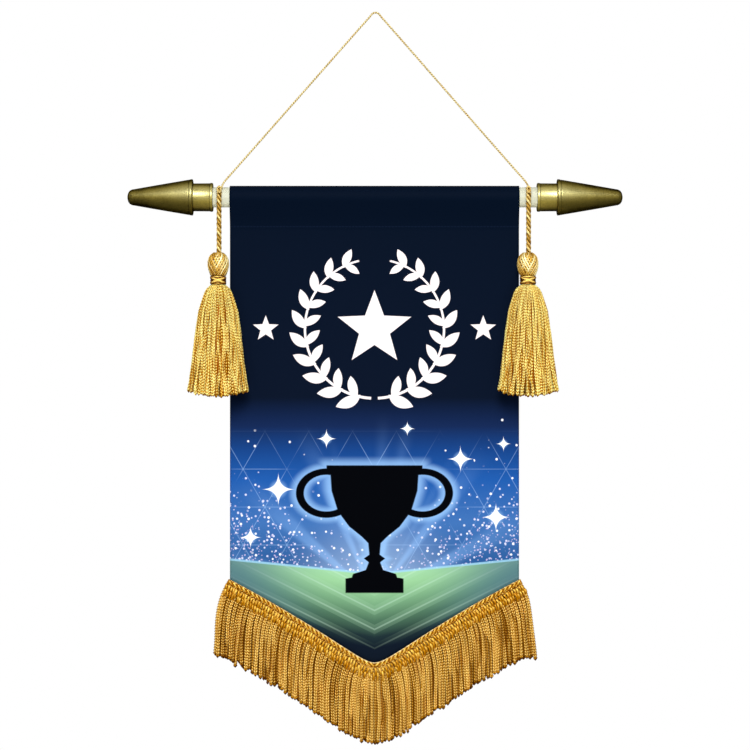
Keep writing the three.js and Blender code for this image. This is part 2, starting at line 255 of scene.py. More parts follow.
cap_finish, cap_shader, place = finish("antique brass plating", {"Specular Tint": (0.12, 0.11, 0.07, 1.0)})
patches = place.noise(70.0, 4.0)
mottle = place.noise(900.0, 3.0)
dull = place.attribute("dull")
# Random tarnish in patches, and the painted shade worked out for each cap below
tarnish_and_painted_shade = patches.rise(0.35, 0.7) * 0.2 + mottle.rise(0.4, 0.75) * 0.2 + dull * 0.8
# The plating's colour, paler where the painted highlight lies
plating = place.attribute("warm").mix((236, 228, 160), (206, 184, 84))
feed(
    cap_shader,
    Base_Color=tarnish_and_painted_shade.mix(plating, (60, 51, 17)),
    Metallic=0.96 - 0.36 * place.attribute("collar"),
    Roughness=0.26 + 0.08 * patches + 0.06 * mottle + 0.22 * dull,
    Normal=(mottle * 0.4 + patches).bump(0.1 * mm, 0.6),
)
socket_radius = rod_radius + cap_clearance
for name, side in (("left", -1), ("right", 1)):
    socket_end = rod_end + cap_clearance - cap_mouth[name]
    socket = [(socket_end, 0), (socket_end, socket_radius), (0, socket_radius)]
    outline = np.concatenate([socket, soften(np.array(cap_corners) * mm, cap_ease)])
    points, faces = turned(outline + [cap_mouth[name], 0], cap_segments, side)
    radius = np.hypot(points[:, 1], points[:, 2] - rod_height)
    reach = np.abs(points[:, 0]) - cap_mouth[name]
    grooves = sum(np.exp(-(((reach - at) / groove_width) ** 2)) for at in groove_places)
    # How far round the cap a point lies: 1 on top, 0 in front and behind, -1 underneath
    steep = (points[:, 2] - rod_height) / np.maximum(radius, 1 * mm)
    # Painted shade: darker underneath, in the grooves, along the top and bottom edges and at the blunt end.
    # The cone is also darker more and more towards the tip
    under = np.clip(-steep, 0, 1) ** 2
    painted_dark_edges = np.clip((np.abs(steep + 0.04) - 0.62) / 0.3, 0, 1) ** 1.1
    toward_tip = np.clip((reach - cone_start) / cone_length, 0, 1)
    blunt_end = np.clip((reach - blunt_start) / blunt_length, 0, 1)
    dulled_and_painted_shade = 0.6 * grooves + under * (0.1 + 0.3 * toward_tip) + 0.68 * toward_tip
    dulled_and_painted_shade = np.clip(dulled_and_painted_shade + 0.9 * painted_dark_edges + 0.4 * blunt_end, 0, 1)
    collar = np.clip((collar_end - reach) / collar_fade, 0, 1)
    # Painted highlight: the plating is paler in a band a little above the middle, all round, less so
    # towards the tip
    warm = np.clip(np.abs(steep - 0.24) / 0.6 + 0.7 * toward_tip, 0, 1) ** 0.8
    given = {"dull": dulled_and_painted_shade, "collar": collar, "warm": warm}
    piece(f"cap_{name}_plated", points, faces, cap_finish, "cap", [f"cap_{name}"], **given)


# Banner cloth
# One sheet of printed polyester satin, cut to a point at its foot. Its head is folded back over the
# rod and sewn down with one row of stitches, which makes the sleeve. The print is generic.

cloth_low, cloth_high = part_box("banner_cloth")
cloth_half = cloth_high.x
cloth_tip = cloth_low.z
cloth_corner = cloth_high.z - 316.8 * mm
cloth_drop = 381.0 * mm
seam_height = rod_height - 22.7 * mm
flap_end = seam_height - 6.6 * mm
cloth_middle = -0.1 * mm
cloth_thick = 0.8 * mm
sleeve_middle = rod_radius + 0.75 * mm
flap_lift = 1.0 * mm
columns, panel_rows = 112, 110
wave_depth = 0.35 * mm
bend_length = 9 * mm


def touch(foot, side):
    """The angle at which a line from foot, (y, z) from the rod's axis, touches the sleeve's circle."""
    distance = math.hypot(*foot)
    return math.atan2(foot[1], foot[0]) + side * math.acos(sleeve_middle / distance)


def sleeve_line():
    """The cloth's middle line, (y, z), from below the seam up the front, over the rod and down the flap."""
    below = seam_height - rod_height
    front_foot, back_foot = (cloth_middle, below), (cloth_middle + flap_lift, below)
    angles = np.linspace(touch(front_foot, -1) + 2 * math.pi, touch(back_foot, 1), 40)
    arc = np.stack([np.cos(angles), np.sin(angles)], axis=1) * sleeve_middle
    bend = [(cloth_middle, below - bend_length), (cloth_middle, below), arc[0]]
    up = soften(bend, bend_length, 12)[1:]
    up = np.concatenate([up[:-1], np.linspace(up[-2], arc[0], 5)[1:-1]])
    down = np.linspace(arc[-1], back_foot, 9)[1:]
    flap = np.linspace(back_foot, (back_foot[0], flap_end - rod_height), 4)[1:]
    return np.concatenate([up, arc, down, flap]) + [0, rod_height]


def cloth_mesh():
    """The sheet with its thickness and faint swells, and at each point 1 if it is on the printed side."""
    across = np.linspace(-cloth_half, cloth_half, columns + 1)
    foot = cloth_tip + (cloth_corner - cloth_tip) * np.abs(across) / cloth_half
    share = np.linspace(0, 1, panel_rows, endpoint=False)[:, None]
    panel_z = foot + (seam_height - bend_length - foot) * share
    swell = np.sin(across / cloth_half * 4.1 + 0.6) + 0.6 * np.sin(across / cloth_half * 9.7 + panel_z * 24)
    panel_y = cloth_middle + wave_depth * swell * np.sin(np.pi * share) ** 1.5
    sleeve = np.repeat(sleeve_line()[:, None], columns + 1, 1)
    y, z = np.concatenate([panel_y, sleeve[..., 0]]), np.concatenate([panel_z, sleeve[..., 1]])
    x = np.repeat(across[None], len(y), 0)
    along_y, along_z = np.gradient(y, axis=0), np.gradient(z, axis=0)
    length = np.hypot(along_y, along_z)
    out_y, out_z = -along_z / length, along_y / length
    halves = (cloth_thick / 2, -cloth_thick / 2)
    points = [np.stack([x, y + half * out_y, z + half * out_z], axis=-1) for half in halves]
    ids = np.arange(x.size).reshape(x.shape)
    under = ids + ids.size
    rim = np.concatenate([ids[0, :-1], ids[:-1, -1], ids[-1, :0:-1], ids[:0:-1, 0]])
    ahead = np.roll(rim, -1)
    quads = [
        np.stack([ids[:-1, :-1], ids[:-1, 1:], ids[1:, 1:], ids[1:, :-1]], axis=-1),
        np.stack([under[:-1, :-1], under[1:, :-1], under[1:, 1:], under[:-1, 1:]], axis=-1),
        np.stack([ahead, rim, rim + ids.size, ahead + ids.size], axis=-1),
    ]
    faces = np.concatenate([q.reshape(-1, 4) for q in quads]).tolist()
    return np.reshape(points, (-1, 3)), faces, np.repeat([1.0, 0.0], ids.size)


# The print is worked out in mm, in the banner's own frame
cloth_finish, cloth_shader, place = finish("printed satin", {"Roughness": 0.6, "Specular IOR Level": 0.02})
x = place.axis("X") / mm
z = place.axis("Z") / mm
out = abs(x)
tip_mm, corner_mm, half_mm = cloth_tip / mm, cloth_corner / mm, cloth_half / mm
above_foot = z - tip_mm - out * ((corner_mm - tip_mm) / half_mm)
fallen = (cloth_high.z / mm - z) / (cloth_drop / mm)

ground_stops = [
    (0.0, (4, 14, 30)), (0.44, (7, 17, 35)), (0.5, (17, 36, 76)), (0.55, (20, 61, 124)),
    (0.61, (28, 82, 156)), (0.7, (58, 104, 166)), (0.78, (40, 84, 140)), (0.86, (84, 100, 150)),
]
ground = fallen.ramp(ground_stops)


def polar(across, up):
    """Distance from a centre, and the angle from straight up."""
    distance = (across * across + up * up) ** 0.5
    return distance, across.math("ARCTAN2", up)


def star(across, up, tip_radius, notch=0.42):
    """1 inside a five-pointed star that stands on two points."""
    distance, angle = polar(across, up)
    fifth = 2 * math.pi / 5
    turn = abs((angle + fifth / 2).math("FLOORED_MODULO", fifth) - fifth / 2)
    along, beside = distance * turn.math("COSINE"), distance * turn.math("SINE")
    lead = notch * tip_radius * math.cos(fifth / 2) - tip_radius
    rise = notch * tip_radius * math.sin(fifth / 2)
    inside = beside * lead - (along - tip_radius) * rise
    return inside.rise(0.0, 0.25 * tip_radius)


def leaf(along, beside, tilt, long, wide):
    """1 inside a pointed leaf, tilted about its middle."""
    c, s = math.cos(tilt), math.sin(tilt)
    length = (along * c + beside * s) / long
    width = (beside * c - along * s) / wide
    return (1.0 - length * length - abs(width)).rise(0.0, 0.12)


# Sun rays, a net of thin lines and specks on the blue
burst_height = -462.0
distance, angle = polar(x, z - burst_height)
rays = (angle * 13.0).math("SINE").rise(-0.2, 0.9) * (angle * 29.0 + 1.3).math("SINE").rise(-1.4, 0.8)
ray_fade = distance.rise(150.0, 40.0) * z.rise(burst_height - 30, burst_height + 20)
picture = (rays * ray_fade * 0.5).mix(ground, (120, 166, 222))
glow = distance.rise(84.0, 12.0) * 0.5
picture = glow.mix(picture, (170, 200, 236))

net_pitch = 30.0
for tilt in (math.radians(a) for a in (30, 90, 150)):
    run = (x * math.cos(tilt) + z * math.sin(tilt)) / net_pitch
    line = abs(run.math("FRACT") - 0.5).rise(0.486, 0.498)
    faint = place.noise(16.0, 1.0).rise(0.42, 0.62) * fallen.rise(0.5, 0.56) * 0.42
    picture = (line * faint).mix(picture, (150, 185, 230))

for cell, size, low, high, tint in (
    (3.4, 0.32, 40.0, 120.0, (214, 214, 240)),
    (2.2, 0.34, 36.0, 84.0, (188, 176, 214)),
    (5.6, 0.22, 50.0, 170.0, (250, 250, 255)),
):
    scaled = place.stretch(1 / (cell * mm), 0.0, 1 / (cell * mm))
    inputs = {"Vector": scaled, "Scale": 1.0}
    spot = scaled.add("ShaderNodeTexVoronoi", None, inputs).rise(size, size * 0.6)
    odds = scaled.add("ShaderNodeTexVoronoi", None, inputs, output=1).axis("X")
    share = above_foot.rise(high, low) * 0.8
    picture = (spot * (share - odds).rise(0.0, 0.1) * 0.85).mix(picture, tint)

# A two-handled cup in silhouette with a pale rim of light: (share of its height, half its width)
cup_profile = [
    (0.0, 38.0), (0.03, 38.0), (0.05, 35.0), (0.2, 34.0), (0.36, 29.0), (0.48, 20.0), (0.56, 10.0),
    (0.61, 5.0), (0.7, 4.2), (0.73, 8.5), (0.76, 4.6), (0.82, 7.0), (0.85, 17.0), (0.88, 18.0),
    (0.885, 23.0), (1.0, 23.0),
]
cup_top, cup_foot, cup_widest = -357.0, -458.0, 40.0
down = (z - cup_top) / (cup_foot - cup_top)
cup_stops = [(share, (wide / cup_widest,) * 3 + (1.0,)) for share, wide in cup_profile]
half_width = down.ramp(cup_stops) * cup_widest
inside = (half_width - out).rise(-0.5, 0.5)
halo = (half_width - out).rise(-9.0, 0.0)
span = down.rise(-0.005, 0.005) * down.rise(1.005, 0.995)
halo_span = down.rise(-0.08, 0.0) * down.rise(1.08, 1.0)
ring_across, ring_up = (out - 38.0) / 21.0, (z - cup_top + 22.0) / 17.0
ring = abs((ring_across * ring_across + ring_up * ring_up) ** 0.5 - 1.0)
handle = ring.rise(0.17, 0.13)
shine = (halo * halo_span).math("MAXIMUM", ring.rise(0.5, 0.15)) * 0.6
picture = shine.mix(picture, (150, 194, 238))
cup = (inside * span).math("MAXIMUM", handle)

# Bands in a shallow point above the pointed foot, from pale green to the near-black tip
band_stops = [
    (0.0, (12, 20, 32)), (0.2, (13, 23, 36)), (0.32, (27, 44, 48)), (0.5, (72, 108, 84)),
    (0.68, (112, 158, 118)), (0.85, (142, 192, 142)), (1.0, (150, 200, 156)),
]
band_top, band_slope = 74.0, 0.1
chevron_pitch, chevron_slope = 15.0, 0.5
height_in_band = z - tip_mm - out * band_slope
share = height_in_band / band_top - out * 0.0012
bands = share.ramp(band_stops)
chevrons = (z - tip_mm - out * chevron_slope) / chevron_pitch
stripes = abs(chevrons.math("FRACT") - 0.5).rise(0.24, 0.27) * share.rise(0.2, 0.5) * 0.12
bands = stripes.mix(bands, (170, 214, 176))
edges = abs(chevrons.math("FRACT") - 0.5).rise(0.44, 0.47) * share.rise(0.1, 0.5) * 0.25
bands = edges.mix(bands, (190, 224, 200))
bands = (out.rise(30.0, 118.0) * 0.75).mix(bands, (58, 92, 120))
picture = height_in_band.rise(band_top + 0.5, band_top - 0.5).mix(picture, bands)
picture = (abs(height_in_band - band_top).rise(1.1, 0.6) * 0.7).mix(picture, (150, 200, 226))
picture = cup.mix(picture, (2, 3, 6))

# Sparkles: (across, height, size) in mm
sparkles = [
    (-76.0, -376.0, 15.0), (68.0, -352.0, 12.0), (-38.0, -336.0, 9.0), (96.0, -398.0, 13.0),
    (-98.0, -414.0, 10.0), (26.0, -328.0, 7.0), (102.0, -340.0, 7.0),
]
for across, height, size in sparkles:
    beside, over = abs(x - across) / size, abs(z - height) / size
    arms = (1.0 - beside**0.5 - over**0.5).rise(0.0, 0.12)
    halo = (1.0 - beside * beside * 3.0 - over * over * 3.0).rise(0.0, 1.4)
    picture = (halo * 0.7).mix(picture, (150, 196, 240))
    picture = arms.mix(picture, (250, 252, 255))

# A laurel wreath round a star, with a small star on each side
wreath_height, wreath_radius = -249.0, 55.0
distance, angle = polar(out, wreath_height - z)
leaf_step, first_leaf, last_leaf = 0.27, 0.2, 10
count = (angle - first_leaf) / leaf_step
number = count.math("FLOOR")
growth = 1.0 - number * 0.028
beside = (distance - wreath_radius) / growth
along = (count - number - 0.5) * (leaf_step * wreath_radius) / growth
grown = number.rise(-0.6, -0.4) * number.rise(last_leaf - 0.4, last_leaf - 0.6)
outer_leaf = leaf(along, beside - 6.2, math.radians(48), 10.6, 4.5)
inner_leaf = leaf(along - 1.5, beside + 6.0, math.radians(-48), 10.0, 4.2)
stem = abs(beside).rise(1.2, 0.8) * angle.rise(0.04, 0.06) * angle.rise(2.93, 2.9)
wreath = (outer_leaf.math("MAXIMUM", inner_leaf) * grown).math("MAXIMUM", stem)
stars = star(x, z - wreath_height, 31.0)
small_stars = star(out - 86.0, z - wreath_height, 11.0)
emblem = wreath.math("MAXIMUM", stars).math("MAXIMUM", small_stars)
picture = emblem.mix(picture, (245, 234, 234))

# The seam's stitches, the show-through on the back, and the satin's fine weave
seam_mm = seam_height / mm
seam_pitch, weft_pitch, warp_pitch, twill_pitch = 2.6, 0.36, 0.52, 1.1
stitch = abs((x / seam_pitch).math("FRACT") - 0.5).rise(0.42, 0.34)
stitch *= abs(z - seam_mm + 0.5).rise(0.45, 0.25)
picture = (stitch * 0.2).mix(picture, (30, 44, 74))
printed = place.attribute("printed")
feed(cloth_shader, Base_Color=((1.0 - printed) * 0.5).mix(picture, (176, 182, 192)))
weave_across = (x * (2 * math.pi / weft_pitch)).math("SINE")
weave_along = (z * (2 * math.pi / warp_pitch) + x * (2 * math.pi / twill_pitch)).math("SINE")
slub = place.stretch(60, 60, 900).noise(1.0, 2.0)
weave = weave_across * 0.4 + weave_along * 0.4 + slub - stitch * 2.5
feed(cloth_shader, Normal=weave.bump(0.03 * mm, 0.5))

points, faces, printed = cloth_mesh()
nodes = ["banner_cloth"]
cloth = piece("cloth_printed", points, faces, cloth_finish, "printed_cloth", nodes, printed=printed)


# Fringe
# A length of gold chain fringe sewn over the pointed foot of the cloth: a twisted edge with a fine pale
# edging, two rows of hooked loops, and strands of chain-knitted rayon yarn in two layers. The strands
# lean out from the heading and turn to hang plumb.

heading_top = -512.4 * mm
heading_steep, heading_ease, heading_round = 0.71, 0.89, 8 * mm
heading_end = 115 * mm
fringe_spread = 123.0 * mm
fringe_length = 65.5 * mm
sewn_depth = 6.9 * mm
strand_lean, lean_width, turn_length = 7.8 * mm, 20 * mm, 9.5 * mm
length_taper, lean_take_up = 0.037, 0.16
# The outermost strands lean less, turn later and are longer
less_lean, later_turn, extra_length = 2.4 * mm, 3.0 * mm, 4.5 * mm
strands = 87
stitch_pitch = 2.15 * mm
chance = np.random.default_rng(7)


def heading_edge(x):
    """The height of the heading's top edge: slightly bowed sides that meet in a rounded point."""
    out = np.hypot(x, heading_round) - heading_round
    return heading_top + heading_steep * out - heading_ease * out * out


def unit(vectors):
    return vectors / np.linalg.norm(vectors, axis=-1, keepdims=True)


def follow(guide, distances):
    """Points at the given distances along a guide of many points."""
    guide = np.asarray(guide, float)
    reached = np.append(0, np.cumsum(np.linalg.norm(np.diff(guide, axis=0), axis=1)))
    return np.stack([np.interp(distances, reached, guide[:, i]) for i in range(3)], axis=1)


def length_of(guide):
    return float(np.linalg.norm(np.diff(guide, axis=0), axis=1).sum())


def spread_over(values, wanted):
    """Spreads a value, or values for known places, over the wanted number of places."""
    values = np.asarray(values, float)
    if values.shape in ((), (3,)):
        return np.repeat(values[None], wanted, 0)
    from_start, share = np.linspace(0, 1, len(values)), np.linspace(0, 1, wanted)
    if values.ndim == 1:
        return np.interp(share, from_start, values)
    return np.stack([np.interp(share, from_start, column) for column in values.T], axis=1)


def compass(angles):
    """Directions at angles round an upright axis."""
    return np.stack([np.cos(angles), np.sin(angles), 0 * angles], axis=-1)


class Yarns:
    """Yarns wound along routes and gathered to become one mesh."""

    # What the material reads at each point: how lit it is painted, with painted shade where it is drawn in,
    # its yarn's tone, painted lighter or darker in places as light and shade, and its place in a knitted
    # stitch, counted along the yarn and from side to side
    usual = {"relief": 1.0, "tint": 0.5, "stitch": 0.5, "side": 0.5}

    def __init__(self):
        self.points, self.faces, self.count = [], [], 0
        self.values = {key: [] for key in self.usual}

    def wind(self, route, front, section, **given):
        """Sweeps a section, (rings, corners, (side, front, along)), along a route of as many rings."""
        along = unit(np.gradient(route, axis=0))
        side = unit(np.cross(along, front))
        front = np.cross(side, along)
        axes = np.stack([side, front, along], axis=1)
        self.gather(route[:, None] + section @ axes, **given)

    def gather(self, points, **given):
        """Adds a tube from its points, (rings, corners, 3), and closes both ends."""
        rings, corners = points.shape[:2]
        ids = self.count + np.arange(rings * corners).reshape(rings, corners)
        ahead = np.roll(ids, -1, axis=1)
        quads = np.stack([ids[:-1], ids[1:], ahead[1:], ahead[:-1]], axis=-1).reshape(-1, 4)
        self.faces += quads.tolist() + [ids[0].tolist(), ids[-1][::-1].tolist()]
        self.points.append(points.reshape(-1, 3))
        self.count += rings * corners
        for key, usual in self.usual.items():
            self.values[key].append(np.broadcast_to(given.get(key, usual), (rings, corners)).reshape(-1))

    def made(self, name, material, slot, nodes):
        values = {key: np.concatenate(numbers) for key, numbers in self.values.items()}
        return piece(name, np.concatenate(self.points), self.faces, material, slot, nodes, **values)


# Across a chain-knitted yarn: (side, front) of each corner, with a groove between two lobes
chain_corners = {
    8: [(1, 0), (0.6, 0.66), (0, 0.4), (-0.6, 0.66), (-1, 0), (-0.6, -0.66), (0, -0.4), (0.6, -0.66)],
    6: [(1, 0), (0.5, 0.66), (-0.5, 0.66), (-1, 0), (-0.5, -0.66), (0.5, -0.66)],
}


def chain(yarns, guide, front, reach, turn, tint, pitch, corners, foot=1.0, painted_dimming=0.0):
    """A chain-knitted yarn: each stitch is drawn in once, along a V. Its foot and front may be painted
    darker as shade.
    """
    total = length_of(guide)
    stitches = max(1, round(total / pitch))
    rings_a_stitch = 4 if corners == 8 else 2
    places = np.linspace(0, total, stitches * rings_a_stitch + 1)
    route = follow(guide, places)
    front, reach, turn, tint = (spread_over(v, len(route)) for v in (front, reach, turn, tint))
    stitch = np.linspace(0, stitches, len(route))
    fullness = 0.76 + 0.32 * np.abs(np.sin(np.pi * stitch)) ** 0.7
    ends = np.minimum(1, 0.5 + np.minimum(places, total - places) / (0.8 * mm))
    side, out = np.array(chain_corners[corners]).T
    cosine, sine = np.cos(turn)[:, None], np.sin(turn)[:, None]
    size = (fullness * ends * reach)[:, None]
    turned_side, turned_out = size * (side * cosine - out * sine), size * (side * sine + out * cosine)
    # The sides of each stitch lie behind its middle, which makes the V
    section = np.stack([turned_side, turned_out, -np.abs(side) * 0.62 * pitch * ends[:, None]], axis=-1)
    # Painted shade: the strand darkens over its last mm, at the foot
    relief = 1 - foot * np.clip(1 - (total - places - 0.5 * mm) / (1.5 * mm), 0, 1)[:, None]
    tint = tint[:, None] - painted_dimming * (out > 0)
    yarns.wind(route, front, section, relief=relief, tint=tint, stitch=stitch[:, None], side=side)


def rope(yarns, guide, front, reach, lay, plies=1, orbit=0, tints=0.5, step=0.5, corners=8, threads=3):
    """Plies laid round each other along a guide, each itself twisted from threads. Sizes are in mm."""
    reach, lay, orbit, step = (size * mm for size in (reach, lay, orbit, step))
    total = length_of(guide)
    rings = max(3, round(total / step)) + 1
    places = np.linspace(0, total, rings)
    centre = follow(guide, places)
    front = spread_over(front, rings)
    along = unit(np.gradient(centre, axis=0))
    side = unit(np.cross(along, front))
    front = np.cross(side, along)
    angles = np.linspace(0, 2 * np.pi, corners, endpoint=False)
    shades = tints if isinstance(tints, tuple) else (tints,)
    for ply in range(plies):
        tint = spread_over(shades[ply % len(shades)], rings)[:, None]
        turn = 2 * np.pi * (places / lay + ply / plies) if plies > 1 else np.full(rings, np.pi / 2)
        outward = np.cos(turn)[:, None] * side + np.sin(turn)[:, None] * front
        ridge = 0.5 + 0.5 * np.cos(threads * (angles - 2 * np.pi * places[:, None] / (0.5 * lay)))
        ends = np.minimum(1, 0.5 + np.minimum(places, total - places) / (0.6 * mm))
        radius = reach * (0.88 + 0.12 * ridge) * ends[:, None]
        section = radius[..., None] * compass(angles)
        # Painted light and shade: each ply is lit on its outer side and shaded on its inner side
        crown = np.clip((np.sin(angles) + 0.2) / 1.2, 0, 1) ** 0.8
        relief = np.maximum(crown, -0.5 * np.sin(angles)) * (0.75 + 0.25 * ridge)
        yarns.wind(centre + orbit * outward, outward, section, relief=relief, tint=tint)


def yarn_finish(name, deep_and_painted_shade, body, bright_and_painted_highlight, contrast=1.0):
    """Rayon yarn: painted shade where it is drawn in, painted highlight on each crown, uneven tone by yarn.
    """
    made, shader, place = finish(name, {"Metallic": 0.3, "Roughness": 0.38, "Specular IOR Level": 0.05})
    relief, tint = place.attribute("relief"), place.attribute("tint")
    crown = (place.attribute("stitch").math("FRACT") * math.pi).math("SINE")
    side = abs(place.attribute("side"))
    # Painted shade at the strand's sides
    flank = side.rise(1.12, 0.6)
    lobe = crown * side.rise(-0.1, 0.3) * flank
    fibre = place.noise(2600.0, 2.0)
    patch = place.noise(60.0, 2.0)
    ruddy = place.stretch(260, 260, 42).noise(1.0, 2.0).rise(0.5, 0.72) * 0.55
    # Painted light and shade: lit points and stitch crowns go towards the highlight colour, hollows towards
    # the shade colour
    height = relief * (0.24 + flank * 0.08 + lobe * 0.74)
    uneven = (tint - 0.5) * 0.4 + (fibre - 0.5) * 0.4 + (patch - 0.5) * 0.3
    lift = (height - 0.6) * contrast + 0.55 + uneven
    low = lift.rise(0.05, 0.6).mix(deep_and_painted_shade, body)
    dye_and_painted_light = lift.rise(0.55, 1.1).mix(low, bright_and_painted_highlight)
    feed(
        shader,
        Base_Color=ruddy.mix(dye_and_painted_light, (0.94, 0.72, 0.5, 1.0), "MULTIPLY"),
        Normal=(lobe + fibre * 0.3).bump(0.35 * mm, 0.8),
    )
    return made


fringe_finish = yarn_finish("fringe yarn", (96, 50, 0), (188, 128, 18), (244, 204, 112), 1.45)
heading_finish = yarn_finish("heading yarn", (130, 68, 0), (198, 132, 10), (254, 212, 96), 0.95)
edging_finish = yarn_finish("edging yarn", (140, 100, 44), (208, 168, 92), (248, 228, 176), 1.2)

# Strands cling together in bunches of two to six
bunches = chance.integers(2, 7, strands)
bunched = np.concatenate([(size - 1) / 2 - np.arange(size) for size in bunches])
bunch_phase = np.repeat(chance.uniform(0, 6, strands), bunches)


def fringe_strand(yarns, layer, index):
    """One strand. Its guide drops from its root in the heading, and each strand differs a little."""
    across = 2 * (index + 0.5 + layer["shift"]) / strands - 1
    hang = fringe_spread * across
    out = abs(hang)
    outermost = np.clip((abs(across) - 0.94) / 0.06, 0, 1)
    near = np.clip(out / lean_width, 0, 1)
    lean = (strand_lean - less_lean * outermost) * near**2 * (3 - 2 * near)
    root = hang - math.copysign(lean, hang)
    root_height = heading_edge(root) - sewn_depth
    length = fringe_length - length_taper * out - lean_take_up * lean + extra_length * outermost
    length += chance.normal(0, 0.75) * mm - layer["shorten"]
    top = chance.uniform(-1, 0) * stitch_pitch - layer["rise"]
    drops = np.linspace(top, length - sewn_depth, 44)
    settled = np.maximum(1 - np.exp(-drops / (turn_length + later_turn * outermost)), -0.4)
    held = np.clip(settled, 0, 1)
    splay = 0.075 * abs(across) ** 6 * math.copysign(1, hang) * np.maximum(drops, 0)
    sway = chance.normal(0, layer["sway"]) * mm * np.clip(drops / (20 * mm), 0, 1)
    wander = chance.normal(0, 0.25) * mm * np.sin(drops / (9 * mm) + chance.uniform(0, 6)) * held
    clinging = 0.6 + 0.4 * np.sin(drops / (13 * mm) + bunch_phase[index])
    gather = layer["gather"] * bunched[index] * held * clinging
    x = root + (hang - root) * settled + splay + sway + wander + gather
    depth = layer["depth"] + (0.4 if index % 2 else -0.1) * mm + chance.normal(0, 0.2) * mm
    y = layer["root_depth"] + (depth - layer["root_depth"]) * held
    guide = np.stack([x, y, root_height - drops], axis=1)
    edgewise = chance.uniform() < layer["edgewise"]
    middle, half_span = chance.uniform(18, 60) * mm, chance.uniform(10, 30) * mm
    on_edge = edgewise * np.clip((half_span - np.abs(drops - middle)) / (6 * mm), 0, 1)
    reach = layer["reach"] * np.clip(0.78 + drops / (12 * mm) * 0.22, 0.6, 1.0) * (1 - 0.2 * on_edge)
    turn = chance.normal(0, 0.2) * layer["loose"] + 1.5 * on_edge
    swing = chance.normal(0, 0.5) * layer["loose"] * held
    turn = turn + swing * np.sin(drops / (12 * mm) + chance.uniform(0, 6))
    slow = 0.15 * np.sin(drops / (11 * mm) + chance.uniform(0, 6))
    near_heading = 0.3 * np.exp(-np.maximum(drops - 4 * mm, 0) / (4 * mm))
    # Edge-on strands are painted a little paler, as a highlight
    tint = chance.uniform(0.1, 0.8) + 0.1 * edgewise + slow + near_heading
    pitch = stitch_pitch * chance.uniform(0.92, 1.08)
    painted_dimming = layer["painted_dimming"] * np.clip((1 - abs(across)) * 20, 0, 1)
    chain(yarns, guide, front, reach, turn, tint, pitch, layer["corners"], painted_dimming=painted_dimming)


front = np.array([0.0, -1.0, 0.0])
# The back layer's front faces are painted darker, as shade behind the front layer
fringe_layers = [
    {
        "name": "front", "shift": 0.25, "shorten": 0.0, "rise": 1.8 * mm, "painted_dimming": 0.0,
        "depth": -3.0 * mm, "root_depth": -2.5 * mm, "reach": 1.62 * mm, "corners": 8,
        "edgewise": 0.4, "gather": 0.29 * mm, "sway": 0.35, "loose": 1.3,
    },
    {
        "name": "back", "shift": -0.25, "shorten": 1.2 * mm, "rise": 1.0 * mm, "painted_dimming": 1.1,
        "depth": -1.0 * mm, "root_depth": -1.7 * mm, "reach": 2.15 * mm, "corners": 6,
        "edgewise": 0.0, "gather": 0.0, "sway": 0.1, "loose": 0.2,
    },
]
for layer in fringe_layers:
    yarns = Yarns()
    for i in range(strands):
        fringe_strand(yarns, layer, i)
    yarns.made(f"fringe_{layer['name']}", fringe_finish, "gold_yarn", ["fringe"])


def heading_frame(x):
    """Points on the heading's top edge, with the direction along it and square down from it."""
    x = np.asarray(x, float)
    edge, ahead = (np.stack([at, 0 * at, heading_edge(at)], axis=-1) for at in (x, x + 0.1 * mm))
    along = unit(ahead - edge)
    return edge, along, np.cross((0, 1, 0), along)


# A flat ribbon under the stitches, painted dark as the shade behind them, and along its top the pale
# edging, the twisted edge and a thin cord
plumb = np.array([0.0, 0.0, -1.0])
yarns, edging = Yarns(), Yarns()
edge, along, down = heading_frame(np.linspace(-heading_end + 2 * mm, heading_end - 2 * mm, 160))
ribbon = edge + down * 4.8 * mm + front * 1.5 * mm
flat = np.array([(3.4, 0.0), (2.6, 0.5), (-2.6, 0.5), (-3.4, 0.0), (-2.6, -0.5), (2.6, -0.5)]) * mm
section = np.zeros((len(ribbon), len(flat), 3))
section[..., :2] = flat
yarns.wind(ribbon, front, section, relief=0.3, tint=0.1)
edging_shades = (1.5, 0.1, 1.2, -0.4, 0.8)
for side in (-1, 1):
    share = np.linspace(0, 1, 18 * len(edging_shades))
    edge, along, down = heading_frame(side * heading_end * share)
    shade = np.tile(edging_shades, 18) - 1.1 * share
    guide = edge + down * 0.5 * mm + front * 3.9 * mm
    rope(edging, guide, front, 0.48, 5.0, tints=shade, threads=2)
    guide = edge + down * 1.9 * mm + front * 3.0 * mm
    rope(yarns, guide, front, 0.86, side * 8.1, 2, 0.74, tints=(1.1, 0.7), corners=10)
    guide = edge + down * 3.6 * mm + front * 2.6 * mm
    rope(yarns, guide, front, 0.6, -side * 5.0, 2, 0.4, tints=(0.2, -0.4), threads=2)

